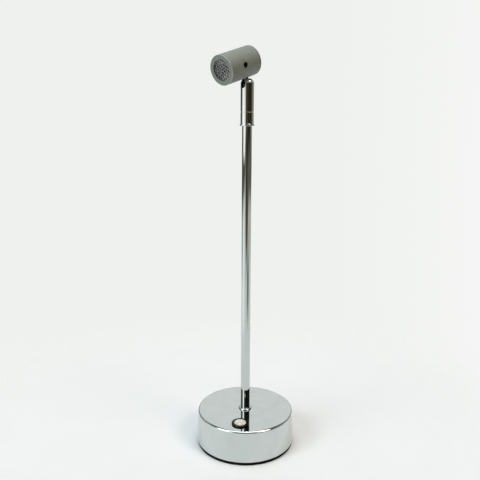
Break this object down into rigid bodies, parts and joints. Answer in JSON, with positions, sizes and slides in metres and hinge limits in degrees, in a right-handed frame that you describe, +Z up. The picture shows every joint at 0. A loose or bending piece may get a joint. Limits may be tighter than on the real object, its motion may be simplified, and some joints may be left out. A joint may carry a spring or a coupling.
{
  "type": "cordless spotlight",
  "caption": "Cordless display spotlight: mirror-chromed round base with a push button, thin pole, ball joint and a grey aluminium cylinder head with a clear lens.",
  "frame": {"origin": "Middle of the pad's underside, on the table, on the pole's axis.", "axes": "+Z runs up the pole, -Y is the way the light points seen from above, +X is to the left of someone the light points at; the side screw of the head is on +X."},
  "size_m": [0.1028, 0.1028, 0.408],
  "materials": {
    "chromed_steel": "mirror-bright chromium plate on polished steel",
    "satin_aluminium": "fine satin, clear anodised, turned round the head",
    "plain_aluminium": "as turned",
    "black_rubber": "matt black moulded rubber",
    "zinc_steel": "bright zinc plated",
    "cast_ballast": "cast, grey primer",
    "black_plastic": "matt black moulded",
    "black_bezel": "gloss black moulded",
    "ivory_plastic": "pale ivory moulded, glossy",
    "white_plastic": "white nylon",
    "blue_cell_wrap": "heat-shrunk blue sleeve",
    "green_board": "green solder mask on glass fibre",
    "white_led_board": "white solder mask on aluminium",
    "yellow_emitter": "yellow phosphor under clear silicone",
    "tinned_brass": "turned brass, lightly tinned",
    "spring_steel": "drawn spring wire",
    "black_screw_steel": "black oxide",
    "clear_lens": "clear moulded optical plastic with a rayed front",
    "wire_insulation": "red and black wire insulation"
  },
  "bodies": {
    "base": {"base_pad": "black_rubber", "base_shell": "chromed_steel", "bottom_plate": "zinc_steel", "ballast_disc": "cast_ballast", "plate_screws": "zinc_steel", "pillars": "zinc_steel", "battery_holder": "black_plastic", "battery_cell": "blue_cell_wrap", "battery_contacts": "zinc_steel", "control_board": "green_board", "board_spacers": "white_plastic", "board_screws": "zinc_steel", "board_parts": "black_plastic", "cell_wires": "wire_insulation", "switch_wires": "wire_insulation", "socket_wires": "wire_insulation", "charging_socket": "black_plastic", "socket_pin": "tinned_brass", "socket_nut": "tinned_brass", "socket_tags": "tinned_brass", "switch_gasket": "black_rubber", "switch_barrel": "black_bezel", "switch_nut": "black_bezel", "switch_plug": "black_plastic", "switch_tags": "tinned_brass", "pole_tube": "chromed_steel", "pole_collar": "chromed_steel", "pole_washer": "zinc_steel", "pole_nut": "zinc_steel", "pole_leads": "wire_insulation", "joint_sleeve": "chromed_steel"},
    "button": {"button_cap": "ivory_plastic", "button_spring": "spring_steel"},
    "joint": {"joint_cap": "chromed_steel", "joint_screw": "black_screw_steel", "pressure_cup": "tinned_brass", "joint_spring": "spring_steel"},
    "head": {"ball_stem": "chromed_steel", "head_housing": "satin_aluminium", "rear_cap": "satin_aluminium", "heat_slug": "plain_aluminium", "side_screw": "black_screw_steel", "led_board": "white_led_board", "led_screws": "zinc_steel", "led_emitter": "yellow_emitter", "lens_holder": "black_plastic", "lens": "clear_lens", "head_leads": "wire_insulation"}
  },
  "joints": [
    {"name": "joint_turn", "type": "hinge", "parent": "base", "child": "joint", "pos_m": [0, 0, 0.3467], "axis": [0, 0, 1], "range_deg": [-160, 160]},
    {"name": "head_tilt", "type": "hinge", "parent": "joint", "child": "head", "pos_m": [0, 0, 0.37145], "axis": [1, 0, 0], "range_deg": [-26, 74]},
    {"name": "button_press", "type": "slide", "parent": "base", "child": "button", "axis": [0, 0, -1], "range_m": [0, 0.0015], "stiffness_N_per_m": 1200, "springref_m": -0.0005, "deforming": ["button_spring"]}
  ]
}
